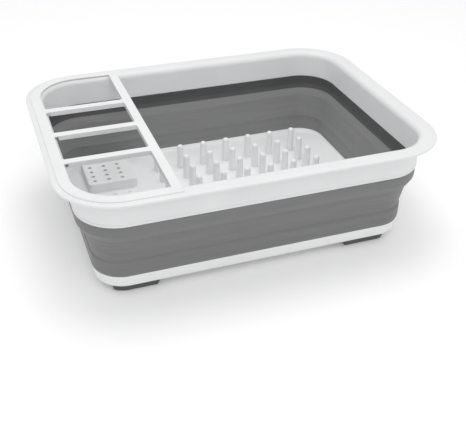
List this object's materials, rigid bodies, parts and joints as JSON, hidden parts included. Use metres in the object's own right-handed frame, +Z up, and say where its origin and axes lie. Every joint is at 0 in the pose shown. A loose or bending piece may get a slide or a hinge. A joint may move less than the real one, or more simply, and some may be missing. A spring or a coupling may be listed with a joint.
{
  "type": "collapsible dish drying rack",
  "caption": "Rectangular dish rack with a rigid rim, fold-flat rubber bellows, pegged base tray with drain blocks, cutlery divider and rubber feet.",
  "frame": {"origin": "middle of the footprint, on the surface that the feet stand on", "axes": "+X along the long front side, +Y to the back, +Z up; the cutlery divider is at the -X end"},
  "size_m": [0.37, 0.283, 0.1158],
  "materials": {
    "white_plastic": "satin moulded polypropylene",
    "divider_plastic": "satin moulded polypropylene",
    "tray_plastic": "satin moulded polypropylene",
    "bellows_rubber": "matte grey thermoplastic rubber",
    "foot_rubber": "matte dark grey rubber"
  },
  "bodies": {
    "base": {"base_tray": "tray_plastic", "plate_pegs": "tray_plastic", "bellows_lower_collar": "bellows_rubber", "bellows_fold": "bellows_rubber", "foot_front_left": "foot_rubber", "foot_back_left": "foot_rubber", "foot_front_right": "foot_rubber", "foot_back_right": "foot_rubber"},
    "rim": {"rim_frame": "white_plastic", "cutlery_divider": "divider_plastic", "bellows_upper_collar": "bellows_rubber"}
  },
  "joints": [
    {"name": "collapse", "type": "slide", "parent": "base", "child": "rim", "axis": [0, 0, -1], "range_m": [0, 0.06], "deforming": ["bellows_fold"]}
  ]
}
